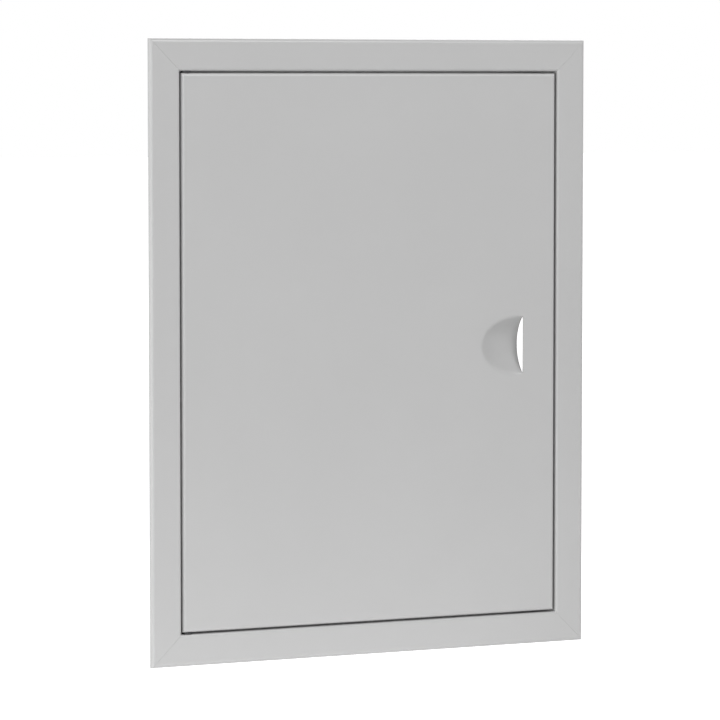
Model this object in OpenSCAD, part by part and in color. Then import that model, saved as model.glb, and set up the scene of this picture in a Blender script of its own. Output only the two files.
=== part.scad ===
// Wall access panel: a mitred sheet-steel frame, a folded door on two hidden pins,
// a pressed finger pull and two magnet catches.
// X runs to the right as one faces the panel, Z runs up and the front faces -Y.
// The origin is the middle of the wall opening, on the plane of the wall's face.

/* [Wall opening] */
// Width of the opening cut in the wall
opening_w = 300; // [220:10:500]
// Height of the opening cut in the wall
opening_h = 400; // [320:10:700]
// Play between the frame's collar and the opening, on each side
wall_play = 1.5; // [1.3:0.1:3]

/* [Frame] */
// Sheet thickness of the frame
frame_t = 1; // [0.8:0.1:1.2]
// How far the flange covers the wall beyond the opening
flange_cover = 20; // [12:1:40]
// Height of the return lip, which stands the flange off the wall
lip_h = 4; // [3.5:0.5:6]
// Outside radius of the bend between flange and lip
edge_bend_r = 3; // [1.5:0.25:3.25]
// Outside radius of the two bends of the collar
fold_r = 2; // [1.5:0.25:2.5]
// Depth of the collar behind the wall's face
collar_depth = 22; // [21:1:50]
// Reach of the stop flange from the collar into the opening
stop_reach = 11; // [10.5:0.5:14]
// Seam left open at each mitre
mitre_seam = 0.1; // [0.05:0.05:0.3]

/* [Door] */
// Gap round the door, seen from the front
door_gap = 1.5; // [1.2:0.1:2.5]
// Sheet thickness of the door
door_t = 1; // [0.8:0.1:1.2]
// Depth of the folded door
door_depth = 12; // [11.5:0.5:13]
// Outside radius of the bend round the door's face
door_bend_r = 2.5; // [1.5:0.25:3]
// Width of the lip folded in at the door's back
door_lip = 10; // [8:0.5:14]
// Outside radius of the bend of that lip
lip_bend_r = 1.5; // [1.25:0.25:2]
// Width of the open seams at the corners of the folded door
corner_seam = 0.6; // [0.2:0.1:1]

/* [Finger pull] */
// Distance from the door's free edge to the cut of the pull
pull_edge = 25.8; // [20:0.1:60]
// Height of the pull's middle above the door's middle
pull_rise = -0.6; // [-100:0.1:100]
// Length of the cut
pull_h = 42; // [34:1:46]
// Length of the hollow, from its tip to the cut
pull_len = 33.5; // [30:0.5:40]
// Depth of the hollow at the cut, from the door's face
pull_depth = 10; // [7:0.5:10]

/* [Hinge] */
// Diameter of the hinge pins
pin_d = 3; // [2.5:0.25:3.25]
// Distance from the door's hinge edge to the pins' axis
pin_inset = 4.5; // [4.25:0.25:6]
// Distance from the door's face to the pins' axis
pin_back = 4.5; // [4.25:0.25:4.75]
// Running clearance round a pin in the door, on the radius
pin_play = 0.05; // [0.03:0.01:0.1]
// Diameter of a pin's head
pin_head_d = 4.8; // [4:0.2:5]
// Thickness of a pin's head
pin_head_t = 1.1; // [0.8:0.1:1.2]
// Thickness of the hinge plates inside the door
hinge_plate_t = 1.5; // [1:0.25:3]
// Length of the hinge plates
hinge_plate_w = 26; // [16:1:40]
// Diameter of the washers in the gap
washer_d = 7; // [5.5:0.5:8]
// Clearance above and below each washer
washer_play = 0.05; // [0.03:0.01:0.15]
// Diameter of the retaining clips
clip_d = 6; // [5.5:0.25:6.5]
// Thickness of the retaining clips
clip_t = 0.6; // [0.4:0.1:1]

/* [Corner plates] */
// Thickness of the corner plates
corner_plate_t = 1.5; // [1:0.25:3]
// Length of each arm of a corner plate
corner_plate_arm = 38; // [30:1:60]
// Diameter of the rivets
rivet_d = 3.2; // [2.4:0.4:4]
// Diameter of a rivet's head
rivet_head_d = 6; // [5:0.5:8]
// Distance from a corner plate's inner corner to its first rivet
rivet_inset = 6; // [4:0.5:8]
// Distance between the two rivets of one arm
rivet_pitch = 16; // [10:1:18]

/* [Magnet catches] */
// Distance from the opening's top or bottom edge to the middle of a catch
catch_inset = 90; // [76:1:100]
// Width of a catch across its stack of magnet and plates
catch_w = 9.2; // [8.5:0.1:9.4]
// Length of a catch's case
catch_case_l = 29; // [26:1:34]
// Length of a catch over its two ears
catch_l = 47; // [46:1:52]
// Thickness of the ears
catch_ear_t = 3; // [2:0.5:4]
// Thickness of a pole plate
pole_t = 1.2; // [1:0.1:1.4]
// Thickness of the magnet between the pole plates
magnet_t = 4.4; // [4:0.1:4.6]
// Length of the magnet and the pole plates
magnet_l = 24; // [20:1:24]
// How far the pole plates stand out of the case
pole_out = 0.8; // [0.4:0.1:1.5]
// Air gap between the pole plates and the closed door
catch_air = 0.2; // [0.1:0.05:0.3]
// Diameter of the catch screws
screw_d = 3.4; // [2.8:0.1:3.6]
// Diameter of a screw's head
screw_head_d = 6.2; // [5.5:0.1:6.5]
// Length of a screw under its head
screw_l = 9; // [7:0.5:16]

/* [Wall fixings] */
// Diameter of the fixing holes in the collar
fixing_d = 5; // [3:0.5:6]
// Depth of the fixing holes behind the wall's face
fixing_back = 14; // [13:0.5:16]
// Distance from the opening's top or bottom edge to a fixing hole in a stile
stile_fixing_inset = 40; // [40:1:50]
// Distance from the opening's side to a fixing hole in a rail
rail_fixing_inset = 50; // [42:1:90]

/* [Hidden] */
$fn = 96;

paint = [0.74, 0.74, 0.74];
zinc = [0.66, 0.68, 0.7];
nylon = [0.16, 0.16, 0.17];
ferrite = [0.2, 0.2, 0.21];

// Allowance that lets one fitted piece slip into another, on each side
slip = 0.05;
// How far a cutting shape runs past what it cuts
past = 1;

// Frame, measured from the middle of the opening
collar_w = opening_w - 2 * wall_play;
collar_h = opening_h - 2 * wall_play;
front_y = -lip_h;
flange_reach = flange_cover + wall_play;
stop_flat = stop_reach + frame_t - fold_r;
stop_mid = fold_r + stop_flat / 2;
stop_front_y = collar_depth - frame_t;

// Door
door_w = collar_w - 2 * (frame_t + door_gap);
door_h = collar_h - 2 * (frame_t + door_gap);
door_back_y = front_y + door_depth;

// Finger pull: the outer part of a ring whose upright axis stands in front of the cut
pull_x = door_w / 2 - pull_edge;
pull_tube_r = (pow(pull_h / 2, 2) + pow(pull_depth, 2)) / (2 * pull_depth);
pull_sweep_r = (pow(pull_len, 2) + pow(pull_depth, 2)) / (2 * pull_depth);
pull_ring_r = pull_sweep_r - pull_tube_r;

// Hinge
pin_x = -door_w / 2 + pin_inset;
pin_y = front_y + pin_back;
pin_groove_w = clip_t + 2 * slip;
pin_groove_depth = 0.35;
pin_groove_d = pin_d - 2 * pin_groove_depth;
pin_tail = 1;
pin_chamfer = 0.4;
plate_inner_z = door_h / 2 - door_t - hinge_plate_t;
clip_nip = 0.15;
clip_mouth = pin_groove_d - 2 * clip_nip;
clip_relief_d = 1.2;

// Corner plates and rivets, measured from a corner of the collar
corner_plate_w = stop_flat;
corner_plate_nip = 3;
rivet_first = fold_r + corner_plate_w + rivet_inset;
rivet_crown_d = 3.6;
rivet_head_t = 1;
rivet_bulge = 0.6;
rivet_tail_t = 2;
mandrel_d = 1.6;

// Catches
catch_x = collar_w / 2 - stop_mid;
catch_z = opening_h / 2 - catch_inset;
pole_front_y = door_back_y + catch_air;
case_front_y = pole_front_y + pole_out;
case_floor_t = 1.5;
case_floor_y = stop_front_y - case_floor_t;
stack_w = magnet_t + 2 * pole_t;
screw_pitch = (catch_case_l + catch_l) / 2;
ear_front_y = stop_front_y - catch_ear_t;
screw_head_t = 2;
screw_crown_d = 4.4;
screw_point_d = 0.7;
screw_recess_l = 3.6;
screw_recess_w = 0.9;
screw_recess_depth = 1;

// One bend of the sheet: a quarter ring whose middle is the origin, in quadrant (sx, sy)
module bend(r, t, sx, sy) {
    intersection() {
        difference() {
            circle(r = r);
            circle(r = r - t);
        }
        scale([sx, sy]) square(r);
    }
}

// Section of the folded frame: x is measured outwards from the collar's outer face, y is depth
module frame_section() {
    // Return lip
    translate([flange_reach - frame_t, front_y + edge_bend_r])
        square([frame_t, lip_h - edge_bend_r]);
    translate([flange_reach - edge_bend_r, front_y + edge_bend_r])
        bend(edge_bend_r, frame_t, 1, -1);
    // Flange
    translate([fold_r - frame_t, front_y])
        square([flange_reach - edge_bend_r - fold_r + frame_t, frame_t]);
    translate([fold_r - frame_t, front_y + fold_r])
        bend(fold_r, frame_t, -1, -1);
    // Collar
    translate([-frame_t, front_y + fold_r])
        square([frame_t, collar_depth - 2 * fold_r - front_y]);
    translate([-fold_r, collar_depth - fold_r])
        bend(fold_r, frame_t, 1, 1);
    // Stop flange
    translate([-frame_t - stop_reach, stop_front_y])
        square([stop_reach + frame_t - fold_r, frame_t]);
}

// One frame member on the +X side, run along Z and mitred at both ends
module frame_member(half_across, half_along) {
    long = half_along + flange_reach;
    inner = frame_t + stop_reach + past;
    seam = mitre_seam / sqrt(2);
    intersection() {
        translate([half_across, 0, -long]) linear_extrude(2 * long) frame_section();
        translate([0, collar_depth + past, 0]) rotate([90, 0, 0])
            linear_extrude(collar_depth + lip_h + 2 * past)
                polygon([
                    [half_across - inner, inner - half_along + seam],
                    [half_across + flange_reach, seam - long],
                    [half_across + flange_reach, long - seam],
                    [half_across - inner, half_along - inner - seam]
                ]);
    }
}

// The two fixing holes of a member on the +X side
module fixing_holes(half_across, pitch) {
    for (side = [-1, 1])
        translate([half_across - frame_t - past, fixing_back, side * pitch / 2])
            rotate([0, 90, 0]) cylinder(d = fixing_d, h = frame_t + 2 * past);
}

// Places of the rivets at the top right corner
module at_rivets() {
    x = collar_w / 2;
    z = collar_h / 2;
    for (i = [0, 1]) {
        along = rivet_first + i * rivet_pitch;
        translate([x - stop_mid, stop_front_y, z - along]) children();
        translate([x - along, stop_front_y, z - stop_mid]) children();
    }
}

module at_all_rivets() {
    for (mx = [0, 1], mz = [0, 1])
        mirror([mx, 0, 0]) mirror([0, 0, mz]) at_rivets() children();
}

// A round hole along Y through the stop flange or a corner plate
module back_hole(d, depth) {
    translate([0, -past, 0]) rotate([-90, 0, 0]) cylinder(d = d, h = depth + 2 * past);
}

module at_catch_screws() {
    for (mz = [-1, 1], side = [-1, 1])
        translate([catch_x, stop_front_y, mz * catch_z + side * screw_pitch / 2]) children();
}

// The rail above the door; the one below is its mirror image
module upper_rail() {
    difference() {
        rotate([0, -90, 0]) frame_member(collar_h / 2, collar_w / 2);
        rotate([0, -90, 0]) fixing_holes(collar_h / 2, opening_w - 2 * rail_fixing_inset);
        translate([pin_x, pin_y, collar_h / 2 - frame_t - past])
            cylinder(d = pin_d + 2 * slip, h = frame_t + 2 * past);
        at_all_rivets() back_hole(rivet_d + 2 * slip, frame_t);
    }
}

module top_rail() {
    color(paint) upper_rail();
}

module bottom_rail() {
    color(paint) mirror([0, 0, 1]) upper_rail();
}

// The stile on the +X side, before the holes for the catches
module plain_stile() {
    difference() {
        frame_member(collar_w / 2, collar_h / 2);
        fixing_holes(collar_w / 2, opening_h - 2 * stile_fixing_inset);
        at_all_rivets() back_hole(rivet_d + 2 * slip, frame_t);
    }
}

module hinge_stile() {
    color(paint) mirror([1, 0, 0]) plain_stile();
}

module latch_stile() {
    color(paint) difference() {
        plain_stile();
        at_catch_screws() back_hole(screw_d + 2 * slip, frame_t);
    }
}

// Flat angle plate behind the stop flange, at the top right corner
module corner_plate() {
    x = collar_w / 2 - fold_r;
    z = collar_h / 2 - fold_r;
    w = corner_plate_w;
    a = corner_plate_arm;
    nip = corner_plate_nip;
    difference() {
        translate([0, collar_depth + corner_plate_t, 0]) rotate([90, 0, 0])
            linear_extrude(corner_plate_t)
                polygon([
                    [x - a, z], [x - nip, z], [x, z - nip], [x, z - a],
                    [x - w, z - a], [x - w, z - w], [x - a, z - w]
                ]);
        translate([0, frame_t, 0]) at_rivets()
            back_hole(rivet_d + 2 * slip, corner_plate_t);
    }
}

module top_right_corner_plate() {
    color(zinc) corner_plate();
}

module top_left_corner_plate() {
    color(zinc) mirror([1, 0, 0]) corner_plate();
}

module bottom_right_corner_plate() {
    color(zinc) mirror([0, 0, 1]) corner_plate();
}

module bottom_left_corner_plate() {
    color(zinc) mirror([1, 0, 0]) mirror([0, 0, 1]) corner_plate();
}

// Blind rivet with its head in front of the stop flange and its tail behind the plate
module rivet() {
    grip = frame_t + corner_plate_t;
    rotate([-90, 0, 0]) difference() {
        union() {
            translate([0, 0, -rivet_head_t])
                cylinder(d1 = rivet_crown_d, d2 = rivet_head_d, h = rivet_head_t);
            cylinder(d = rivet_d, h = grip);
            translate([0, 0, grip]) cylinder(d = rivet_d + 2 * rivet_bulge, h = rivet_tail_t);
        }
        translate([0, 0, -rivet_head_t - past])
            cylinder(d = mandrel_d, h = rivet_head_t + grip + past);
    }
}

module corner_rivets() {
    color(zinc) at_all_rivets() rivet();
}

// Box whose front and back edges are rounded along all four sides, as a folded pan's are
module pan_block(w, h, y0, y1, r_front, r_back) {
    intersection() {
        translate([0, 0, -h / 2]) linear_extrude(h) pan_outline(w, y0, y1, r_front, r_back);
        rotate([0, -90, 0]) translate([0, 0, -w / 2])
            linear_extrude(w) pan_outline(h, y0, y1, r_front, r_back);
    }
}

module pan_outline(w, y0, y1, r_front, r_back) {
    for (side = [-1, 1]) {
        translate([side * (w / 2 - r_front), y0 + r_front]) circle(r = r_front);
        translate([side * (w / 2 - r_back), y1 - r_back]) circle(r = r_back);
    }
    translate([-w / 2 + r_front, y0]) square([w - 2 * r_front, r_front]);
    translate([-w / 2, y0 + r_front]) square([w, y1 - y0 - r_front - r_back]);
    translate([-w / 2 + r_back, y1 - r_back]) square([w - 2 * r_back, r_back]);
}

module pan_outside() {
    pan_block(door_w, door_h, front_y, door_back_y, door_bend_r, lip_bend_r);
}

module pan_inside(clear = 0) {
    t = door_t + clear;
    pan_block(
        door_w - 2 * t, door_h - 2 * t, front_y + t, door_back_y - t,
        door_bend_r - door_t, lip_bend_r - door_t
    );
}

// Form of the finger pull: the part of an upright ring that reaches behind the door's face
// on the hinge side of the cut; grow is the sheet's thickness for the back of the hollow
module pull_form(grow = 0) {
    axis_y = front_y + pull_depth - pull_sweep_r;
    size = 2 * (pull_sweep_r + grow + past);
    intersection() {
        translate([pull_x, axis_y, pull_rise]) rotate_extrude()
            translate([pull_ring_r, 0]) circle(r = pull_tube_r + grow);
        translate([pull_x - size, front_y - past, pull_rise - size / 2]) cube(size);
    }
}

// Open seams at the top right corner: a mitre between the lips, and a slit down the corner
// where the top return ends against the side return
module corner_seam_cut() {
    x = door_w / 2 - door_t;
    z = door_h / 2 - door_t;
    mitre_l = sqrt(2) * (door_lip - door_t) + past;
    slit_y = front_y + door_bend_r;
    translate([x, door_back_y - lip_bend_r, z]) rotate([0, -45, 0])
        translate([-mitre_l, 0, -corner_seam / 2])
            cube([mitre_l, lip_bend_r + past, corner_seam]);
    translate([x - corner_seam, slit_y, z - past])
        cube([corner_seam, door_back_y - slit_y + past, door_t + 2 * past]);
}

module door_panel() {
    color(paint) difference() {
        union() {
            difference() {
                pan_outside();
                pan_inside();
                // Window between the lips
                translate([-door_w / 2 + door_lip, 0, -door_h / 2 + door_lip])
                    cube([door_w - 2 * door_lip, door_back_y + past, door_h - 2 * door_lip]);
            }
            intersection() {
                pull_form(door_t);
                translate([-door_w / 2, front_y, -door_h / 2]) cube([door_w, door_depth, door_h]);
            }
        }
        pull_form();
        for (mx = [0, 1], mz = [0, 1])
            mirror([mx, 0, 0]) mirror([0, 0, mz]) corner_seam_cut();
        for (mz = [0, 1])
            mirror([0, 0, mz]) translate([pin_x, pin_y, door_h / 2 - door_t - past])
                cylinder(d = pin_d + 2 * pin_play, h = door_t + 2 * past);
    }
}

// Doubler inside the door's top return, which gives the pin a longer bearing
module hinge_plate() {
    difference() {
        intersection() {
            pan_inside(slip);
            translate([-door_w / 2, front_y, plate_inner_z])
                cube([door_t + hinge_plate_w, door_depth, hinge_plate_t + past]);
        }
        translate([pin_x, pin_y, plate_inner_z - past])
            cylinder(d = pin_d + 2 * pin_play, h = hinge_plate_t + 2 * past);
    }
}

module upper_hinge_plate() {
    color(paint) hinge_plate();
}

module lower_hinge_plate() {
    color(paint) mirror([0, 0, 1]) hinge_plate();
}

// Headed pin let in from outside the frame, down through rail, washer, door and hinge plate
module hinge_pin() {
    top = collar_h / 2;
    groove_top = plate_inner_z - washer_play;
    groove_bottom = groove_top - pin_groove_w;
    bottom = groove_bottom - pin_tail;
    translate([pin_x, pin_y, 0]) {
        translate([0, 0, top]) cylinder(d = pin_head_d, h = pin_head_t);
        translate([0, 0, groove_top]) cylinder(d = pin_d, h = top - groove_top);
        translate([0, 0, groove_bottom]) cylinder(d = pin_groove_d, h = pin_groove_w);
        translate([0, 0, bottom + pin_chamfer])
            cylinder(d = pin_d, h = pin_tail - pin_chamfer);
        translate([0, 0, bottom])
            cylinder(d1 = pin_d - 2 * pin_chamfer, d2 = pin_d, h = pin_chamfer);
    }
}

module upper_hinge_pin() {
    color(zinc) hinge_pin();
}

module lower_hinge_pin() {
    color(zinc) mirror([0, 0, 1]) hinge_pin();
}

module hinge_washer() {
    translate([pin_x, pin_y, door_h / 2 + washer_play]) difference() {
        cylinder(d = washer_d, h = door_gap - 2 * washer_play);
        translate([0, 0, -past]) cylinder(d = pin_d + 2 * slip, h = door_gap + 2 * past);
    }
}

module upper_hinge_washer() {
    color(nylon) hinge_washer();
}

module lower_hinge_washer() {
    color(nylon) mirror([0, 0, 1]) hinge_washer();
}

// Retaining clip in the pin's groove, open on the side it was pushed from
module pin_clip() {
    bore_d = pin_groove_d + 2 * slip;
    cut_l = clip_t + 2 * past;
    translate([pin_x, pin_y, plate_inner_z - washer_play - slip - clip_t]) difference() {
        cylinder(d = clip_d, h = clip_t);
        translate([0, 0, -past]) cylinder(d = bore_d, h = cut_l);
        translate([0, -clip_mouth / 2, -past]) cube([clip_d, clip_mouth, cut_l]);
        for (side = [-1, 1])
            rotate([0, 0, 120 * side]) translate([bore_d / 2, 0, -past])
                cylinder(d = clip_relief_d, h = cut_l);
    }
}

module upper_pin_clip() {
    color(zinc) pin_clip();
}

module lower_pin_clip() {
    color(zinc) mirror([0, 0, 1]) pin_clip();
}

// Case of a catch at the upper place, on the stop flange's front face
module catch_case() {
    translate([catch_x, 0, catch_z]) difference() {
        union() {
            translate([-catch_w / 2, case_front_y, -catch_case_l / 2])
                cube([catch_w, stop_front_y - case_front_y, catch_case_l]);
            translate([-catch_w / 2, ear_front_y, -catch_l / 2 + catch_w / 2])
                cube([catch_w, catch_ear_t, catch_l - catch_w]);
            for (side = [-1, 1])
                translate([0, ear_front_y, side * (catch_l - catch_w) / 2])
                    rotate([-90, 0, 0]) cylinder(d = catch_w, h = catch_ear_t);
        }
        translate([-stack_w / 2 - slip, case_front_y - past, -magnet_l / 2 - slip])
            cube([
                stack_w + 2 * slip, case_floor_y - case_front_y + past,
                magnet_l + 2 * slip
            ]);
        for (side = [-1, 1])
            translate([0, ear_front_y, side * screw_pitch / 2])
                back_hole(screw_d + 2 * slip, catch_ear_t);
    }
}

module upper_catch_case() {
    color(nylon) catch_case();
}

module lower_catch_case() {
    color(nylon) mirror([0, 0, 1]) catch_case();
}

module catch_magnet() {
    translate([catch_x - magnet_t / 2, case_front_y, catch_z - magnet_l / 2])
        cube([magnet_t, case_floor_y - case_front_y, magnet_l]);
}

module upper_catch_magnet() {
    color(ferrite) catch_magnet();
}

module lower_catch_magnet() {
    color(ferrite) mirror([0, 0, 1]) catch_magnet();
}

module catch_poles() {
    for (side = [-1, 1])
        translate([
            catch_x + side * (magnet_t + pole_t) / 2 - pole_t / 2, pole_front_y,
            catch_z - magnet_l / 2
        ])
            cube([pole_t, case_floor_y - pole_front_y, magnet_l]);
}

module upper_catch_poles() {
    color(zinc) catch_poles();
}

module lower_catch_poles() {
    color(zinc) mirror([0, 0, 1]) catch_poles();
}

// Pan-head screw along Y, its head's seat at the origin
module catch_screw() {
    point_l = screw_d;
    rotate([-90, 0, 0]) difference() {
        union() {
            translate([0, 0, -screw_head_t])
                cylinder(d1 = screw_crown_d, d2 = screw_head_d, h = screw_head_t / 2);
            translate([0, 0, -screw_head_t / 2])
                cylinder(d = screw_head_d, h = screw_head_t / 2);
            cylinder(d = screw_d, h = screw_l - point_l);
            translate([0, 0, screw_l - point_l])
                cylinder(d1 = screw_d, d2 = screw_point_d, h = point_l);
        }
        for (turn = [0, 90])
            rotate([0, 0, turn])
                translate([-screw_recess_l / 2, -screw_recess_w / 2, -screw_head_t - past])
                    cube([screw_recess_l, screw_recess_w, screw_recess_depth + past]);
    }
}

module catch_screws() {
    color(zinc) at_catch_screws() translate([0, -catch_ear_t, 0]) catch_screw();
}

top_rail();
bottom_rail();
hinge_stile();
latch_stile();
top_left_corner_plate();
top_right_corner_plate();
bottom_left_corner_plate();
bottom_right_corner_plate();
corner_rivets();
door_panel();
upper_hinge_plate();
lower_hinge_plate();
upper_hinge_pin();
lower_hinge_pin();
upper_hinge_washer();
lower_hinge_washer();
upper_pin_clip();
lower_pin_clip();
upper_catch_case();
lower_catch_case();
upper_catch_magnet();
lower_catch_magnet();
upper_catch_poles();
lower_catch_poles();
catch_screws();
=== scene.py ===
"""Dresses a packed wall access panel: the folded sheets, the pressed finger pull, the hinge
pins, rivets, catches and screws, their finishes, and a plain white studio."""

import contextlib
import itertools
import math

import bmesh
import bpy
from bpy.props import FloatProperty, FloatVectorProperty, IntProperty, PointerProperty
from mathutils import Matrix, Vector


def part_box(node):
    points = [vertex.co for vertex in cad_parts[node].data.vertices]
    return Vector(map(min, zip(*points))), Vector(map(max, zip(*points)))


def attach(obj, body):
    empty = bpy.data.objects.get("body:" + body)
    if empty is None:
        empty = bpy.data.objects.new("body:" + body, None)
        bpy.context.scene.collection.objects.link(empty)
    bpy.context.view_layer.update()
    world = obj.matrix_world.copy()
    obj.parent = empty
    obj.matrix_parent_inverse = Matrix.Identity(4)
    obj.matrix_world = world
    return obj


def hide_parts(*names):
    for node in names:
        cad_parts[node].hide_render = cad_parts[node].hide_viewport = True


bl_info = {
    "name": "Wall Access Panel",
    "version": (1, 0, 0),
    "blender": (4, 5, 0),
    "location": "3D Viewport > Sidebar > Access Panel",
    "description": "Models a folded sheet-steel access panel, its hinge and its catches",
    "category": "Add Mesh",
}

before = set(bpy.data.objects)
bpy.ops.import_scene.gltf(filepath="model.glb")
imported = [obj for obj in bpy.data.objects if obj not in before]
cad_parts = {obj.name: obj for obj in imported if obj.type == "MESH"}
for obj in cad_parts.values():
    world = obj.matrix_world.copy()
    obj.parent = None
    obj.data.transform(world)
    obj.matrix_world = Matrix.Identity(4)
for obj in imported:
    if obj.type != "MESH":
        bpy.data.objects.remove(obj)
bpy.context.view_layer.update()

MM = 0.001
NEAR = 1e-6
DOUBLED = 1e-7
PAST = 1 * MM
FLAT = math.radians(1)
SHARP = math.radians(35)
SMOOTH = math.radians(50)
DOOR_LOW, DOOR_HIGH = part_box("door_panel")
STILE_LOW, STILE_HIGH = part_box("latch_stile")
HALF_W = STILE_HIGH.x
HALF_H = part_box("top_rail")[1].z
FRONT_Y = STILE_LOW.y
BACK_Y = STILE_HIGH.y
WALL_Y = 0.0
ACROSS = (1, 0, 0)
UPWARD = (0, 0, 1)


def size_value(name, description, millimetres, least=0.0):
    """A length property, given in millimetres and held in metres."""
    return FloatProperty(
        name=name, description=description, default=millimetres * MM, min=least * MM,
        unit="LENGTH", subtype="DISTANCE", precision=5,
    )


def lamp_power(name, place, watts, most=200):
    """The power property of the lamp that stands at this place, in watts."""
    return FloatProperty(
        name=name, description=f"Power of the lamp {place}, in watts", default=watts, min=0,
        max=most,
    )


class FrameSizes(bpy.types.PropertyGroup):
    """Sizes of the folded frame"""

    sheet: size_value("Sheet", "Thickness of the frame's and the door's sheet", 1)
    flange_reach: size_value("Flange reach", "From the collar's outer face to the edge", 21.5)
    edge_bend: size_value("Edge bend", "Outside radius between flange and return lip", 3)
    fold: size_value("Fold", "Outside radius of the collar's two bends", 2)
    seam: size_value("Mitre seam", "Seam left open at each mitre", 0.05)
    cut_round: size_value("Cut edge rounding", "Rounding of a coated cut edge", 0.07)
    fixing_d: size_value("Fixing hole", "Diameter of the holes through the collar", 5)
    fixing_back: size_value("Fixing depth", "From the wall's face to the fixing holes", 14)
    stile_fixing: size_value("Stile fixing", "Height of a stile's fixing holes", 160)
    rail_fixing: size_value("Rail fixing", "Distance of a rail's fixing holes from its middle", 100)
    bend_steps: IntProperty(
        name="Bend steps", description="Faces round each bend", default=8, min=3, max=24
    )


class DoorSizes(bpy.types.PropertyGroup):
    """Sizes of the folded door"""

    bend: size_value("Face bend", "Outside radius round the door's face", 2.5)
    lip: size_value("Lip", "Width of the lip folded in at the back", 10)
    lip_bend: size_value("Lip bend", "Outside radius of the lip's bend", 1.5)
    seam: size_value("Corner seam", "Width of the open seams at the corners", 0.6)


class PullSizes(bpy.types.PropertyGroup):
    """Sizes of the pressed finger pull"""

    edge: size_value("Edge distance", "From the door's free edge to the cut", 25.8)
    rise: size_value("Rise", "Height of the cut's middle over the door's middle", -0.6, -150)
    cut: size_value("Cut", "Length of the cut", 42, 10)
    reach: size_value("Reach", "Length of the hollow from its tip to the cut", 33.5, 10)
    depth: size_value("Depth", "Depth of the hollow at the cut", 10, 1)
    margin: size_value("Margin", "Flat sheet kept round the hollow", 7, 1)
    cut_rows: IntProperty(
        name="Rows along the cut", description="Mesh rows between the cut's ends",
        default=64, min=16, max=96,
    )
    side_rows: IntProperty(
        name="Rows beyond the cut", description="Mesh rows above and below it",
        default=11, min=2, max=32,
    )
    softening: IntProperty(
        name="Softening", description="Passes that round the rim of the hollow",
        default=40, min=0, max=200,
    )
    crisp: size_value("Crisp length", "Distance from the cut over which the rim turns soft", 9, 1)


class FittingSizes(bpy.types.PropertyGroup):
    """Sizes of the hinge, the rivets, the catches and the screws"""

    pin_d: size_value("Pin", "Diameter of the hinge pins", 3)
    pin_inset: size_value("Pin inset", "From the door's hinge edge to the pins' axis", 4.5)
    pin_back: size_value("Pin depth", "From the door's face to the pins' axis", 4.5)
    pin_play: size_value("Pin play", "Clearance round a pin in the door", 0.05)
    groove: size_value("Groove depth", "Depth of the pin's groove", 0.35)
    slip: size_value("Slip", "Allowance round a fitted piece, on each side", 0.05)
    rivet_d: size_value("Rivet", "Diameter of the rivets", 3.2)
    rivet_row: size_value("Rivet row", "From the collar's outer face to the rivets", 7)
    rivet_first: size_value("First rivet", "From the collar's corner to the first rivet", 18)
    rivet_pitch: size_value("Rivet pitch", "Distance between two rivets of one arm", 16)
    screw_d: size_value("Screw", "Diameter of the catch screws", 3.4)
    screw_pitch: size_value("Screw pitch", "Distance between a catch's two screws", 38)
    case_l: size_value("Case", "Length of a catch's case between its two ears", 29)
    ear_t: size_value("Ear", "Thickness of the ears of a catch's case", 3)
    case_round: size_value("Case rounding", "Rounding of the cases' edges", 0.3)
    plate_round: size_value("Plate rounding", "Rounding of the stamped plates' edges", 0.1)
    magnet_round: size_value("Magnet rounding", "Rounding of the magnets' edges", 0.12)


class PaintFinish(bpy.types.PropertyGroup):
    """Finish of the coated sheets"""

    colour: FloatVectorProperty(
        name="Coat colour", description="Colour of the powder coat",
        default=(0.5, 0.5, 0.5), size=3, min=0, max=1, subtype="COLOR",
    )
    roughness: FloatProperty(
        name="Roughness", description="Roughness of the coat", default=0.34, min=0, max=1,
        subtype="FACTOR",
    )
    peel: size_value("Orange peel", "Height of the coat's ripple", 0.012)
    peel_size: size_value("Ripple size", "Distance between two ripples", 1.6)


class StudioSettings(bpy.types.PropertyGroup):
    """Camera, lamps and floor"""

    eye: FloatVectorProperty(
        name="Camera place", description="Place of the camera, from the wall opening's middle",
        default=(-1.1534, -2.5120, 0.1893), size=3, unit="LENGTH", subtype="TRANSLATION",
    )
    turn: FloatProperty(
        name="Camera turn", description="Turn to the right of the camera's view",
        default=math.radians(24.507), unit="ROTATION", subtype="ANGLE",
    )
    tilt: FloatProperty(
        name="Camera tilt", description="Tilt down of the camera's view",
        default=math.radians(4.093), unit="ROTATION", subtype="ANGLE",
    )
    lens: FloatProperty(
        name="Lens", description="Focal length, in millimetres", default=193.8, min=10, max=400,
    )
    floor_drop: size_value("Floor drop", "Height of the panel's lower edge over the floor", 260)
    ambient: FloatProperty(
        name="Ambient", description="Strength of the even light from all sides",
        default=0.34, min=0, max=2,
    )
    key: lamp_power("Left lamp", "at the left, a little behind the panel", 20)
    top: lamp_power("Top lamp", "above and in front, a little to the right", 25.1)
    front: lamp_power("Front lamp", "in front at the left", 18.9)
    low: lamp_power("Low lamp", "below, which stands for a near floor", 0.44, 50)
    back: lamp_power("Back lamp", "behind the panel", 12)


# Ways of working on a piece

def activate(piece):
    """Make the piece the only one selected, and the active one."""
    bpy.ops.object.select_all(action="DESELECT")
    piece.select_set(True)
    bpy.context.view_layer.objects.active = piece


def start_from(primitive, name, stretch=(1, 1, 1), **place):
    """Add a primitive, name it and move its place and size into its mesh."""
    primitive(**place)
    piece = bpy.context.object
    piece.name = piece.data.name = name
    piece.scale = stretch
    bpy.ops.object.transform_apply(location=True, rotation=True, scale=True)
    return piece


@contextlib.contextmanager
def editing(piece):
    """Work on the piece in edit mode."""
    activate(piece)
    bpy.ops.object.mode_set(mode="EDIT")
    yield
    bpy.ops.object.mode_set(mode="OBJECT")


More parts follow.
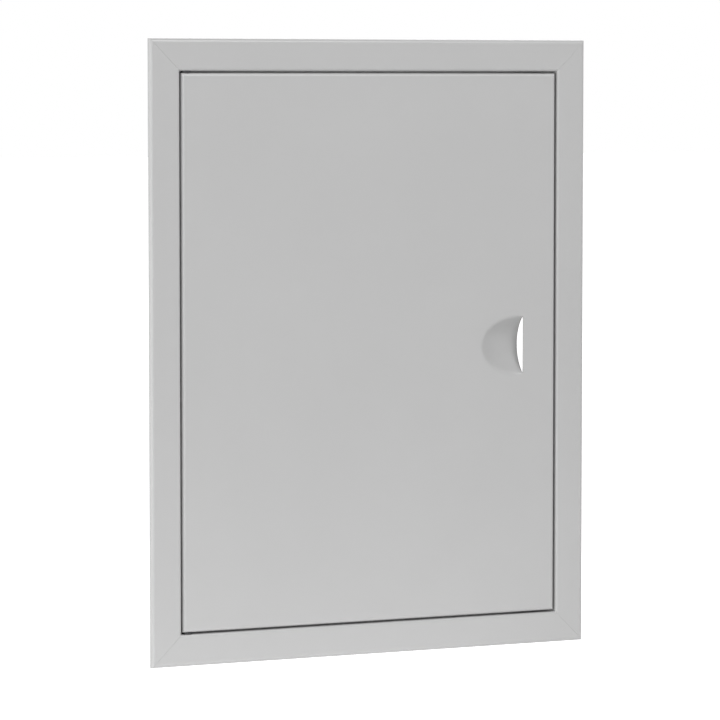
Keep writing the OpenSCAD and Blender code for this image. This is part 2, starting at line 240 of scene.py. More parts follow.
def pick(piece, kind, test, least_angle=None):
    """Select only the verts, edges or faces whose points pass the test.

    Where an angle is given, edges that are less sharp are left out."""
    bpy.ops.mesh.select_mode(type=kind)
    bpy.ops.mesh.select_all(action="DESELECT")
    shape = bmesh.from_edit_mesh(piece.data)
    parts = {"VERT": shape.verts, "EDGE": shape.edges, "FACE": shape.faces}[kind]
    for part in parts:
        points = [part.co] if kind == "VERT" else [vert.co for vert in part.verts]
        sharp = least_angle is None or (
            part.is_manifold and part.calc_face_angle() > least_angle
        )
        if sharp and test(points):
            part.select_set(True)
    shape.select_flush_mode()
    bmesh.update_edit_mesh(piece.data)


def level(points, axis, value):
    """Whether all the points lie at this value of the axis."""
    return all(abs(point[axis] - value) < NEAR for point in points)


def push(x=0.0, y=0.0, z=0.0):
    """Extrude the selected edges or faces by this much."""
    bpy.ops.mesh.extrude_region_move(TRANSFORM_OT_translate={"value": (x, y, z)})


def apply_modifier(piece, kind, **values):
    """Add a modifier with these values and apply it."""
    activate(piece)
    bpy.ops.object.modifier_add(type=kind)
    modifier = piece.modifiers[-1]
    for key, value in values.items():
        setattr(modifier, key, value)
    bpy.ops.object.modifier_apply(modifier=modifier.name)


def joined(pieces, name):
    """Join the pieces into one object."""
    bpy.ops.object.select_all(action="DESELECT")
    for piece in pieces:
        piece.select_set(True)
    bpy.context.view_layer.objects.active = pieces[0]
    if len(pieces) > 1:
        bpy.ops.object.join()
    pieces[0].name = pieces[0].data.name = name
    return pieces[0]


def copied(piece, name, matrix):
    """Copy the piece with its own mesh, placed by the matrix, with its faces outwards."""
    activate(piece)
    bpy.ops.object.duplicate()
    copy = bpy.context.object
    copy.name = copy.data.name = name
    copy.data.transform(matrix)
    if matrix.determinant() < 0:
        copy.data.flip_normals()
    return copy


def cut_away(piece, cutters):
    """Cut the cutters' shapes out of the piece."""
    cutter = joined(cutters, "cutter")
    apply_modifier(piece, "BOOLEAN", operation="DIFFERENCE", solver="EXACT", object=cutter)
    bpy.data.objects.remove(cutter)


def rod(diameter, length, place, axis="Z", sides=40):
    """A cylinder for cutting round holes, with its middle at the place."""
    turn = {"X": (0, math.pi / 2, 0), "Y": (math.pi / 2, 0, 0), "Z": (0, 0, 0)}[axis]
    return start_from(
        bpy.ops.mesh.primitive_cylinder_add, "rod", vertices=sides, radius=diameter / 2,
        depth=length, location=place, rotation=turn,
    )


def hole(diameter, place, axis="Z"):
    """A rod for a round hole through a sheet, with the sheet's middle at the place."""
    return rod(diameter, bpy.context.scene.panel_frame.sheet + 2 * PAST, place, axis)


def block(size, place):
    """A block with its middle at the place."""
    return start_from(
        bpy.ops.mesh.primitive_cube_add, "block", stretch=size, size=1, location=place
    )


def outwards(piece):
    """Merge doubled points and turn all faces of a closed shape outwards."""
    with editing(piece):
        bpy.ops.mesh.select_all(action="SELECT")
        bpy.ops.mesh.remove_doubles(threshold=DOUBLED)
        bpy.ops.mesh.normals_make_consistent(inside=False)


def round_off(piece, width=0.0, segments=2):
    """Round every sharp edge, where a width is given, and shade the piece."""
    if width:
        apply_modifier(
            piece, "BEVEL", width=width, segments=segments, limit_method="ANGLE",
            angle_limit=SHARP, use_clamp_overlap=False,
        )
    activate(piece)
    bpy.ops.object.shade_smooth_by_angle(angle=SMOOTH)
    apply_modifier(piece, "WEIGHTED_NORMAL", keep_sharp=True, weight=60)


def round_edges(piece, width, test):
    """Round the sharp edges whose points pass the test."""
    with editing(piece):
        pick(piece, "EDGE", test, SHARP)
        bpy.ops.mesh.bevel(offset=width, segments=2)


def hand_over(piece, body, slot, node):
    """Give the piece its finish and its body, in place of the node that it stands for."""
    piece.data.materials.clear()
    piece.data.materials.append(finish_of(slot))
    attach(piece, body)
    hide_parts(node)


# Shapes of the sheets

def spin_edge(centre, degrees, steps):
    """Bend the selected edge round a line along Z."""
    bpy.ops.mesh.spin(
        steps=steps, angle=-math.radians(degrees), center=centre, axis=UPWARD
    )


def folded_member(name, across, along):
    """Fold the frame member whose outer edge is at X = across, mitred at Z = +-along."""
    sizes = bpy.context.scene.panel_frame
    collar = across - sizes.flange_reach
    flat_in = collar + sizes.fold - sizes.sheet
    flat_out = across - sizes.edge_bend
    member = start_from(
        bpy.ops.mesh.primitive_plane_add, name, size=1,
        stretch=(flat_out - flat_in, 2 * (along + PAST), 1),
        location=((flat_in + flat_out) / 2, FRONT_Y, 0), rotation=(math.pi / 2, 0, 0),
    )
    collar_in = collar - sizes.sheet
    inner_bend = sizes.fold - sizes.sheet
    with editing(member):
        # Return lip
        pick(member, "EDGE", lambda points: level(points, 0, flat_out))
        spin_edge((flat_out, FRONT_Y + sizes.edge_bend, 0), 90, sizes.bend_steps)
        push(y=WALL_Y - FRONT_Y - sizes.edge_bend)
        # Collar
        pick(member, "EDGE", lambda points: level(points, 0, flat_in))
        spin_edge((flat_in, FRONT_Y + sizes.fold, 0), -90, sizes.bend_steps)
        push(y=BACK_Y - FRONT_Y - 2 * sizes.fold)
        # Stop flange
        spin_edge((collar_in - inner_bend, BACK_Y - sizes.fold, 0), 90, sizes.bend_steps)
        push(x=sizes.fold - (HALF_W - sizes.flange_reach - STILE_LOW.x))
        bpy.ops.mesh.select_all(action="SELECT")
        bpy.ops.mesh.normals_make_consistent(inside=False)
    face_forward(member)
    apply_modifier(member, "SOLIDIFY", thickness=sizes.sheet, offset=-1, use_even_offset=True)
    seam = sizes.seam / math.sqrt(2)
    with editing(member):
        for end in (1, -1):
            bpy.ops.mesh.select_all(action="SELECT")
            bpy.ops.mesh.bisect(
                plane_co=(across, 0, end * (along - seam)), plane_no=(-1, 0, end),
                use_fill=True, clear_outer=True,
            )
    outwards(member)
    return member


def face_forward(piece):
    """Turn an open sheet over where its front face looks back."""
    front = min(piece.data.polygons, key=lambda face: face.center.y)
    if front.normal.y > 0:
        piece.data.flip_normals()


def fixing_rods(across, reach):
    """Rods for the two fixing holes of the member on the +X side."""
    sizes = bpy.context.scene.panel_frame
    middle = across - sizes.flange_reach - sizes.sheet / 2
    return [
        hole(sizes.fixing_d, (middle, sizes.fixing_back, end * reach), "X") for end in (1, -1)
    ]


def rivet_rods(across, along):
    """Rods for the four rivet holes of the member on the +X side."""
    sizes = bpy.context.scene.panel_frame
    fittings = bpy.context.scene.panel_fittings
    row = across - sizes.flange_reach - fittings.rivet_row
    corner = along - sizes.flange_reach
    return [
        hole(
            fittings.rivet_d + 2 * fittings.slip,
            (row, BACK_Y - sizes.sheet / 2, end * (corner - fittings.rivet_first - step)), "Y",
        )
        for end in (1, -1) for step in (0, fittings.rivet_pitch)
    ]


def screw_places():
    """Places of the four catch screws on the stop flange's front face."""
    sizes = bpy.context.scene.panel_frame
    fittings = bpy.context.scene.panel_fittings
    places = []
    for node in ("upper_catch_case", "lower_catch_case"):
        low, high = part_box(node)
        middle = (low + high) / 2
        places += [
            Vector((middle.x, BACK_Y - sizes.sheet, middle.z + end * fittings.screw_pitch / 2))
            for end in (1, -1)
        ]
    return places


class PANEL_OT_frame_members(bpy.types.Operator):
    """Fold the two rails and the two stiles, mitre them and drill their holes"""

    bl_idname = "access_panel.frame_members"
    bl_label = "Frame Members"

    def execute(self, context):
        sizes = context.scene.panel_frame
        fittings = context.scene.panel_fittings
        stile = folded_member("latch_stile_sheet", HALF_W, HALF_H)
        cut_away(stile, fixing_rods(HALF_W, sizes.stile_fixing) + rivet_rods(HALF_W, HALF_H))
        hinge_stile = copied(stile, "hinge_stile_sheet", Matrix.Scale(-1, 4, ACROSS))
        cut_away(stile, [
            hole(fittings.screw_d + 2 * fittings.slip,
                 place + Vector((0, sizes.sheet / 2, 0)), "Y")
            for place in screw_places()
        ])
        rail = folded_member("top_rail_sheet", HALF_H, HALF_W)
        cut_away(rail, fixing_rods(HALF_H, sizes.rail_fixing) + rivet_rods(HALF_H, HALF_W))
        rail.data.transform(Matrix.Rotation(-math.pi / 2, 4, "Y"))
        pin_x, pin_y = pin_axis()
        cut_away(rail, [hole(
            fittings.pin_d + 2 * fittings.slip,
            (pin_x, pin_y, HALF_H - sizes.flange_reach - sizes.sheet / 2),
        )])
        bottom_rail = copied(rail, "bottom_rail_sheet", Matrix.Scale(-1, 4, UPWARD))
        members = {
            "latch_stile": stile, "hinge_stile": hinge_stile, "top_rail": rail,
            "bottom_rail": bottom_rail,
        }
        for node, member in members.items():
            round_off(member, sizes.cut_round)
            hand_over(member, "frame", "paint", node)
        return {"FINISHED"}


def pin_axis():
    """X and Y of the hinge pins' axis."""
    fittings = bpy.context.scene.panel_fittings
    return DOOR_LOW.x + fittings.pin_inset, DOOR_LOW.y + fittings.pin_back


def press_hollow(door, cut_x):
    """Press the finger pull into the door's face, left of the cut."""
    ring_sides, tube_sides = 384, 256
    pull = bpy.context.scene.panel_pull
    tube = ((pull.cut / 2) ** 2 + pull.depth ** 2) / (2 * pull.depth)
    sweep = (pull.reach ** 2 + pull.depth ** 2) / (2 * pull.depth)
    ring = start_from(
        bpy.ops.mesh.primitive_torus_add, "press_tool", major_radius=sweep - tube,
        minor_radius=tube, major_segments=ring_sides, minor_segments=tube_sides,
        location=(cut_x, DOOR_LOW.y + pull.depth - sweep, pull.rise),
    )
    whole = door.vertex_groups["hollow"]
    soft = door.vertex_groups.new(name="soft")
    half = patch_half(pull)
    for vert in door.data.vertices:
        if any(group.group == whole.index for group in vert.groups):
            from_cut = cut_x - vert.co.x
            inner = (
                from_cut < pull.reach + pull.margin - NEAR
                and abs(vert.co.z - pull.rise) < half - NEAR
            )
            ease = min(1.0, from_cut / pull.crisp)
            soft.add([vert.index], ease * ease * (3 - 2 * ease) if inner else 0.0, "REPLACE")
    apply_modifier(
        door, "SHRINKWRAP", target=ring, wrap_method="PROJECT", use_project_y=True,
        use_positive_direction=True, use_negative_direction=False, vertex_group="hollow",
    )
    bpy.data.objects.remove(ring)
    apply_modifier(
        door, "SMOOTH", factor=0.5, iterations=pull.softening, use_x=False, use_z=False,
        vertex_group="soft",
    )


def patch_half(pull):
    """Half the height of the patch of fine mesh that is pressed."""
    rows = pull.cut_rows + 2 * pull.side_rows
    return pull.cut / pull.cut_rows * rows / 2


def folded_door():
    """Fold the door from a block, with the patch for the finger pull in its face."""
    sizes = bpy.context.scene.panel_door
    pull = bpy.context.scene.panel_pull
    steps = bpy.context.scene.panel_frame.bend_steps
    middle = (DOOR_LOW + DOOR_HIGH) / 2
    door = start_from(
        bpy.ops.mesh.primitive_cube_add, "folded_door_sheet", size=1, location=middle,
        stretch=DOOR_HIGH - DOOR_LOW,
    )
    cut_x = DOOR_HIGH.x - pull.edge
    patch_left = cut_x - pull.reach - pull.margin
    half = patch_half(pull)
    rows = pull.cut_rows + 2 * pull.side_rows
    with editing(door):
        pick(door, "FACE", at_back)
        bpy.ops.mesh.inset(thickness=sizes.lip)
        bpy.ops.mesh.delete(type="FACE")
        pick(door, "EDGE", lambda points: at_back(points) and along_sides(
            points, DOOR_HIGH.x, DOOR_HIGH.z))
        bpy.ops.mesh.bevel(offset=sizes.lip_bend, segments=steps)
        pick(door, "EDGE", at_face)
        bpy.ops.mesh.bevel(offset=sizes.bend, segments=steps)
        # Lines round the patch that is pressed
        for place, normal in (
            ((patch_left, 0, 0), ACROSS), ((cut_x, 0, 0), ACROSS),
            ((0, 0, pull.rise + half), UPWARD), ((0, 0, pull.rise - half), UPWARD),
        ):
            pick(door, "FACE", at_face)
            bpy.ops.mesh.bisect(plane_co=place, plane_no=normal)
        pick(door, "FACE", lambda points: at_face(points) and in_patch(
            points, patch_left, cut_x, pull.rise, half))
        bpy.ops.mesh.subdivide(number_cuts=rows - 1)
        bpy.ops.object.vertex_group_add()
        bpy.ops.object.vertex_group_assign()
        # The cut, which parts the patch from the sheet at its right
        pick(door, "EDGE", lambda points: level(points, 0, cut_x) and at_face(points) and all(
            abs(point.z - pull.rise) < pull.cut / 2 + NEAR for point in points))
        bpy.ops.mesh.edge_split(type="EDGE")
    door.vertex_groups[0].name = "hollow"
    keep_patch_only(door, "hollow", cut_x)
    return door, cut_x


def at_face(points):
    """Whether the points lie in the plane of the door's face."""
    return level(points, 1, DOOR_LOW.y)


def at_back(points):
    """Whether the points lie at the door's open back."""
    return level(points, 1, DOOR_HIGH.y)


def along_sides(points, x, z):
    """Whether an edge runs along a side of the rectangle that reaches to +-x and +-z."""
    return any(level(points, axis, value) for axis, value in ((0, x), (0, -x), (2, z), (2, -z)))


def on_mitre(points):
    """Whether a short edge lies where two bends of the door meet."""
    bend = bpy.context.scene.panel_door.bend
    inwards = [(DOOR_HIGH.x - abs(point.x), DOOR_HIGH.z - abs(point.z)) for point in points]
    short = (points[0] - points[1]).length < bend
    return short and all(abs(x - z) < NEAR and x < bend + NEAR for x, z in inwards)


def in_patch(points, left, right, middle_z, half):
    """Whether a face lies in the patch that is pressed."""
    return all(
        left - NEAR < point.x < right + NEAR and abs(point.z - middle_z) < half + NEAR
        for point in points
    )


def keep_patch_only(door, name, cut_x):
    """Leave in the group only the points whose faces all lie left of the cut."""
    group = door.vertex_groups[name]
    beyond = set()
    for face in door.data.polygons:
        if face.center.x > cut_x:
            beyond.update(face.vertices)
    group.remove(list(beyond))


class PANEL_OT_door(bpy.types.Operator):
    """Fold the door, press its finger pull and cut its corner seams and pin holes"""

    bl_idname = "access_panel.door"
    bl_label = "Door"

    def execute(self, context):
        frame_sizes = context.scene.panel_frame
        sizes = context.scene.panel_door
        fittings = context.scene.panel_fittings
        sheet = frame_sizes.sheet
        door, cut_x = folded_door()
        press_hollow(door, cut_x)
        apply_modifier(door, "SOLIDIFY", thickness=sheet, offset=-1, use_even_offset=True)
        pin_x, pin_y = pin_axis()
        mitre_l = math.sqrt(2) * (sizes.lip - sheet) + PAST
        slit_y = DOOR_LOW.y + sizes.bend
        slit_l = DOOR_HIGH.y - slit_y + PAST
        mitres = []
        holes = [
            hole(fittings.pin_d + 2 * fittings.pin_play,
                 (pin_x, pin_y, side * (DOOR_HIGH.z - sheet / 2)))
            for side in (1, -1)
        ]
        for x_side, z_side in itertools.product((1, -1), repeat=2):
            x = x_side * (DOOR_HIGH.x - sheet)
            z = z_side * (DOOR_HIGH.z - sheet)
            mitre = block((mitre_l, sizes.lip_bend + PAST, sizes.seam), (-mitre_l / 2, 0, 0))
            mitre.data.transform(
                Matrix.Translation((x, DOOR_HIGH.y - (sizes.lip_bend - PAST) / 2, z))
                @ Matrix.Rotation(math.atan2(-z_side, x_side), 4, "Y")
            )
            mitres.append(mitre)
            holes.append(block(
                (sizes.seam, slit_l, sheet + 2 * PAST),
                (x - x_side * sizes.seam / 2, slit_y + slit_l / 2, z + z_side * sheet / 2),
            ))
        cut_away(door, mitres)
        cut_away(door, holes)
        pull = context.scene.panel_pull
        lip_x = DOOR_HIGH.x - sizes.lip
        lip_z = DOOR_HIGH.z - sizes.lip
        round_edges(door, frame_sizes.cut_round, lambda points: along_sides(
            points, lip_x, lip_z))
        mouth_edge = 1.2 * sheet
        round_edges(door, frame_sizes.cut_round, lambda points: all(
            abs(point.x - cut_x) < mouth_edge
            and abs(point.z - pull.rise) < pull.cut / 2 - sheet for point in points))
        with editing(door):
            pick(door, "EDGE", on_mitre)
            bpy.ops.mesh.mark_sharp()
        round_off(door)
        door.vertex_groups.clear()
        hand_over(door, "door", "paint", "door_panel")
        return {"FINISHED"}


# Profiles of turned pieces: radius and depth behind the seat of the head, in millimetres
RIVET_PROFILE = (
    (0.62, 4.45), (0.75, 4.35), (0.75, 4.1), (1.3, 4.3), (1.85, 4.1), (2.2, 3.45), (2.1, 2.85),
    (1.6, 2.5), (1.6, 0.02), (2.95, 0.01), (3.0, -0.2), (2.8, -0.52), (2.3, -0.8),
    (1.6, -0.96), (1.05, -1.0), (0.84, -0.9), (0.8, -0.5), (0.7, -0.45),
)
SCREW_PROFILE = (
    (0.35, 9.0), (0.8, 7.9), (1.2, 6.2), (1.2, 0.3), (1.35, 0.0), (2.95, 0.0), (3.1, -0.15),
    (3.1, -0.9), (3.0, -1.3), (2.7, -1.65), (2.2, -1.9), (1.4, -2.0),
)


def turned(name, profile, sides=32):
    """Turn a closed piece round the Y axis through the profile's points."""
    radius, y = profile[0]
    piece = start_from(
        bpy.ops.mesh.primitive_circle_add, name, vertices=sides, radius=radius * MM,
        fill_type="NGON", location=(0, y * MM, 0), rotation=(math.pi / 2, 0, 0),
    )
    with editing(piece):
        bpy.ops.mesh.select_all(action="SELECT")
        for next_radius, next_y in profile[1:]:
            push(y=(next_y - y) * MM)
            grow = next_radius / radius
            bpy.ops.transform.resize(value=(grow, 1, grow))
            radius, y = next_radius, next_y
    outwards(piece)
    return piece


def spread(piece, name, matrices):
    """Copy the piece to each place, join the copies and drop the first."""
    copies = [copied(piece, f"{name}_{n}", matrix) for n, matrix in enumerate(matrices)]
    bpy.data.objects.remove(piece)
    return joined(copies, name)


class PANEL_OT_rivets(bpy.types.Operator):
    """Model a blind rivet and set sixteen of them at the frame's corners"""

    bl_idname = "access_panel.rivets"
    bl_label = "Corner Rivets"

    def execute(self, context):
        sizes = context.scene.panel_frame
        fittings = context.scene.panel_fittings
        rivet = turned("rivet", RIVET_PROFILE, sides=24)
        collar_x = HALF_W - sizes.flange_reach
        collar_z = HALF_H - sizes.flange_reach
        seat = BACK_Y - sizes.sheet
        places = []
        for step in (0, fittings.rivet_pitch):
            along = fittings.rivet_first + step
            places.append((collar_x - fittings.rivet_row, collar_z - along))
            places.append((collar_x - along, collar_z - fittings.rivet_row))
        rivets = spread(rivet, "blind_rivets", [
            Matrix.Translation((x_side * x, seat, z_side * z))
            for x, z in places for x_side, z_side in itertools.product((1, -1), repeat=2)
        ])
        round_off(rivets)
        hand_over(rivets, "frame", "rivet_steel", "corner_rivets")
        return {"FINISHED"}


class PANEL_OT_hinge(bpy.types.Operator):
    """Model the two headed hinge pins, and finish the plates, washers and clips"""

    bl_idname = "access_panel.hinge"
    bl_label = "Hinge"

    def execute(self, context):
        fittings = context.scene.panel_fittings
        low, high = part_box("upper_hinge_pin")
        clip_low, clip_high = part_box("upper_pin_clip")
        pin_x, pin_y = pin_axis()
        collar_z = HALF_H - context.scene.panel_frame.flange_reach
        shank = fittings.pin_d / MM / 2
        groove = shank - fittings.groove / MM
        head = (high.x - low.x) / MM / 2
        tip = (high.z - low.z) / MM
        seat = (high.z - collar_z) / MM
        slip = fittings.slip / MM
        groove_top = (high.z - clip_high.z) / MM - slip
        groove_end = (high.z - clip_low.z) / MM + slip
        chamfer, head_edge = 0.4, 0.1
        dome = ((0.0, 0.45), (0.15, 0.22), (0.5, 0.06), (1.0, 0.0))
        pin = turned("pin", (
            (shank - chamfer, tip), (shank, tip - chamfer), (shank, groove_end),
            (groove, groove_end), (groove, groove_top), (shank, groove_top), (shank, seat),
            (head - head_edge, seat), (head, seat - head_edge),
            *((head - inwards, depth) for inwards, depth in dome),
        ), sides=40)
        upper = copied(pin, "upper_pin", Matrix.Translation((pin_x, pin_y, high.z))
                       @ Matrix.Rotation(-math.pi / 2, 4, "X"))
        lower = copied(upper, "lower_pin", Matrix.Scale(-1, 4, UPWARD))
        bpy.data.objects.remove(pin)
        for piece, node in ((upper, "upper_hinge_pin"), (lower, "lower_hinge_pin")):
            round_off(piece)
            hand_over(piece, "frame", "bright_zinc", node)
        soften(
            fittings.plate_round, "door", "paint", "upper_hinge_plate", "lower_hinge_plate"
        )
        dress("nylon", "upper_hinge_washer", "lower_hinge_washer")
        dress("bright_zinc", "upper_pin_clip", "lower_pin_clip")
        return {"FINISHED"}


def dress(slot, *nodes):
    """Give the CAD nodes their finish."""
    for node in nodes:
        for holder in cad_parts[node].material_slots:
            holder.material = finish_of(slot)


def merged_copy(node, name):
    """A copy of a CAD node with its triangles merged, so that its edges can be rounded."""
    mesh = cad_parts[node].data.copy()
    mesh.name = name
    piece = bpy.data.objects.new(name, mesh)
    bpy.context.scene.collection.objects.link(piece)
    with editing(piece):
        bpy.ops.mesh.select_all(action="SELECT")
        bpy.ops.mesh.remove_doubles(threshold=NEAR)
        bpy.ops.mesh.dissolve_limited(angle_limit=FLAT)
    return piece


def soften(width, body, slot, *nodes):
    """Stand pieces with rounded edges in for the CAD nodes."""
    for node in nodes:
        piece = merged_copy(node, f"{node}_rounded")
        round_off(piece, width)
        hand_over(piece, body, slot, node)


class PANEL_OT_corner_plates(bpy.types.Operator):
    """Finish the four corner plates behind the stop flange"""

    bl_idname = "access_panel.corner_plates"
    bl_label = "Corner Plates"

    def execute(self, context):
        soften(
            context.scene.panel_fittings.plate_round, "frame", "zinc",
            "top_left_corner_plate", "top_right_corner_plate", "bottom_left_corner_plate",
            "bottom_right_corner_plate",
        )
        return {"FINISHED"}


class PANEL_OT_catches(bpy.types.Operator):
    """Model the two catch cases, and finish their magnets and pole plates"""

    bl_idname = "access_panel.catches"
    bl_label = "Magnet Catches"

    def execute(self, context):
        fittings = context.scene.panel_fittings
        low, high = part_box("upper_catch_case")
        magnet_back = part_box("upper_catch_magnet")[1].y
        poles_low, poles_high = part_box("upper_catch_poles")
        middle = (low + high) / 2
        width = high.x - low.x
        ear_t, case_l, slip = fittings.ear_t, fittings.case_l, fittings.slip
        ear_y = high.y - ear_t / 2
        sides = 48
        half_step = math.pi / sides
        case = rod(width / math.cos(half_step), ear_t, (0, 0, 0), "Y", sides)
        case.data.transform(Matrix.Translation((middle.x, ear_y, middle.z))
                            @ Matrix.Rotation(half_step, 4, "Y"))
        stretch = (high.z - low.z - width) / 2
        with editing(case):
            for end in (1, -1):
                pick(case, "VERT", lambda points: end * (points[0].z - middle.z) > 0)
                bpy.ops.transform.translate(value=(0, 0, end * stretch))
            for end in (1, -1):
                bpy.ops.mesh.select_all(action="SELECT")
                bpy.ops.mesh.bisect(
                    plane_co=(0, 0, middle.z + end * case_l / 2), plane_no=UPWARD
                )
            pick(case, "FACE", lambda points: level(points, 1, high.y - ear_t) and all(
                abs(point.z - middle.z) < case_l / 2 + NEAR for point in points))
            push(y=low.y - high.y + ear_t)
        pocket_low = Vector((poles_low.x - slip, low.y - PAST, poles_low.z - slip))
        pocket_high = Vector((poles_high.x + slip, magnet_back, poles_high.z + slip))
        cut_away(case, [block(pocket_high - pocket_low, (pocket_low + pocket_high) / 2)] + [
            rod(fittings.screw_d + 2 * slip, ear_t + 2 * PAST, (middle.x, ear_y, place.z), "Y")
            for place in screw_places()[:2]
        ])
        outwards(case)
        lower = copied(case, "lower_case", Matrix.Scale(-1, 4, UPWARD))
        for piece, node in ((case, "upper_catch_case"), (lower, "lower_catch_case")):
            piece.name = piece.data.name = node.replace("catch_case", "moulded_case")
            round_off(piece, fittings.case_round, segments=3)
            hand_over(piece, "frame", "nylon", node)
        soften(
            fittings.magnet_round, "frame", "ferrite", "upper_catch_magnet",
            "lower_catch_magnet",
        )
        soften(
            fittings.plate_round, "frame", "bright_zinc", "upper_catch_poles",
            "lower_catch_poles",
        )
        return {"FINISHED"}


# How far round each screw's cross stands, in radians
SCREW_TURNS = (0.3, 1.0, 0.6, 1.3)


class PANEL_OT_catch_screws(bpy.types.Operator):
    """Model a cross-recessed screw with its thread and drive in four of them"""

    bl_idname = "access_panel.catch_screws"
    bl_label = "Catch Screws"

    def execute(self, context):
        fittings = context.scene.panel_fittings
        screw = turned("screw", SCREW_PROFILE)
        head_t, recess_l, recess_w, recess_depth = 2 * MM, 3.6 * MM, 0.9 * MM, 1 * MM
        for arm, other in ((recess_l, recess_w), (recess_w, recess_l)):
            cut_away(screw, [block((arm, 2 * recess_depth, other), (0, -head_t, 0))])
        ear_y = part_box("upper_catch_case")[1].y - fittings.ear_t
        thread = screw_thread()
        screw = joined([screw, thread], "screw")
        screws = spread(screw, "pan_head_screws", [
            Matrix.Translation((place.x, ear_y, place.z)) @ Matrix.Rotation(turn, 4, "Y")
            for place, turn in zip(screw_places(), SCREW_TURNS)
        ])
        round_off(screws)
        hand_over(screws, "frame", "bright_zinc", "catch_screws")
        return {"FINISHED"}


def screw_thread():
    """The raised thread of a screw, which runs out to nothing at the point."""
    pitch, start, turns, turn_steps = 1.25 * MM, 0.4 * MM, 6, 20
    root, crest, foot = 1.1 * MM, 1.68 * MM, 0.6 * MM
    point_start, point_l, point_slimming = 6.2 * MM, 2.9 * MM, 0.72
    thread = start_from(
        bpy.ops.mesh.primitive_circle_add, "thread", vertices=3, radius=foot,
        fill_type="NOTHING",
    )
    corners = ((root, start), (crest, start + foot / 2), (root, start + foot))
    for vert, (x, y) in zip(thread.data.vertices, corners):
        vert.co = (x, y, 0)
    apply_modifier(
        thread, "SCREW", axis="Y", angle=2 * math.pi, screw_offset=pitch, iterations=turns,
        steps=turn_steps, render_steps=turn_steps,
    )
    with editing(thread):
        bpy.ops.mesh.select_all(action="SELECT")
        bpy.ops.mesh.fill_holes(sides=3)
    for vert in thread.data.vertices:
        past = (vert.co.y - point_start) / point_l
        if past > 0:
            shrink = 1 - point_slimming * min(1.0, past)
            vert.co.x *= shrink
            vert.co.z *= shrink
    outwards(thread)
    return thread


# Finishes

def fill(tree, node, inputs):
    """Join the node's inputs to sockets of the tree, or set their values."""
    for key, source in inputs.items():
        if isinstance(source, bpy.types.NodeSocket):
            tree.links.new(source, node.inputs[key])
        else:
            node.inputs[key].default_value = source


def add_node(tree, kind, inputs=None, **values):
    """Add a node, set its values and fill its inputs."""
    node = tree.nodes.new(kind)
    for key, value in values.items():
        setattr(node, key, value)
    fill(tree, node, inputs or {})
    return node


def once(store, make):
    """What the function makes under its own name, made only the first time."""
    return store.get(make.__name__) or make(make.__name__)


def effect(name, inputs, outputs):
    """A new node group with these inputs and outputs, and its two end nodes."""
    tree = bpy.data.node_groups.new(name, "ShaderNodeTree")
    for way, sockets in (("INPUT", inputs), ("OUTPUT", outputs)):
        for label, kind in sockets.items():
            tree.interface.new_socket(label, in_out=way, socket_type=f"NodeSocket{kind}")
    return tree, tree.nodes.new("NodeGroupInput"), tree.nodes.new("NodeGroupOutput")


def surface_ripple(name):
    """Group: height of a fine ripple, such as a coat's orange peel or a mould's grain."""
    tree, source, result = effect(
        name, {"Vector": "Vector", "Scale": "Float", "Grain": "Float"}, {"Height": "Float"}
    )
    wave = add_node(tree, "ShaderNodeTexNoise", {
        "Vector": source.outputs["Vector"], "Scale": source.outputs["Scale"], "Detail": 1.0,
    })
    finer = add_node(tree, "ShaderNodeMath", {0: source.outputs["Scale"], 1: 4.3},
                     operation="MULTIPLY")
    grain = add_node(tree, "ShaderNodeTexNoise", {
        "Vector": source.outputs["Vector"], "Scale": finer.outputs[0], "Detail": 2.0,
    })
    height = add_node(tree, "ShaderNodeMath", {
        0: grain.outputs["Fac"], 1: source.outputs["Grain"], 2: wave.outputs["Fac"],
    }, operation="MULTIPLY_ADD")
    fill(tree, result, {"Height": height.outputs[0]})
    return tree


def tone_drift(name):
    """Group: slow drift of a colour and its roughness across a surface."""
    tree, source, result = effect(
        name,
        {
            "Vector": "Vector", "Scale": "Float", "Light": "Color", "Dark": "Color",
            "Smooth": "Float", "Rough": "Float",
        },
        {"Color": "Color", "Roughness": "Float"},
    )
    cloud = add_node(tree, "ShaderNodeTexNoise", {
        "Vector": source.outputs["Vector"], "Scale": source.outputs["Scale"], "Detail": 4.0,
        "Roughness": 0.55,
    })
    drift = {"Value": cloud.outputs["Fac"], "From Min": 0.3, "From Max": 0.7}
    tone = add_node(tree, "ShaderNodeMapRange", drift)
    colour = add_node(tree, "ShaderNodeMix", {
        "Factor": tone.outputs["Result"], 6: source.outputs["Light"],
        7: source.outputs["Dark"],
    }, data_type="RGBA")
    rough = add_node(tree, "ShaderNodeMapRange", {
        **drift, "To Min": source.outputs["Smooth"], "To Max": source.outputs["Rough"],
    })
    fill(tree, result, {"Color": colour.outputs[2], "Roughness": rough.outputs["Result"]})
    return tree


def rippled_finish(name, light, dark, drift, smooth, rough, ripple, grain, bump, metallic=0.0):
    """A finish whose tone and roughness drift between two values over a rippled surface."""
    material = bpy.data.materials.new(name)
    material.use_nodes = True
    tree = material.node_tree
    place = add_node(tree, "ShaderNodeTexCoord").outputs["Object"]
    tone = add_node(tree, "ShaderNodeGroup", {
        "Vector": place, "Scale": drift, "Light": (*light, 1), "Dark": (*dark, 1),
        "Smooth": smooth, "Rough": rough,
    }, node_tree=once(bpy.data.node_groups, tone_drift))
    waves = add_node(tree, "ShaderNodeGroup", {
        "Vector": place, "Scale": ripple, "Grain": grain,
    }, node_tree=once(bpy.data.node_groups, surface_ripple))
    relief = add_node(tree, "ShaderNodeBump", {
        "Strength": 1.0, "Distance": bump, "Height": waves.outputs["Height"],
    })
    fill(tree, tree.nodes["Principled BSDF"], {
        "Metallic": metallic, "Base Color": tone.outputs["Color"],
        "Roughness": tone.outputs["Roughness"], "Normal": relief.outputs["Normal"],
    })
    return material


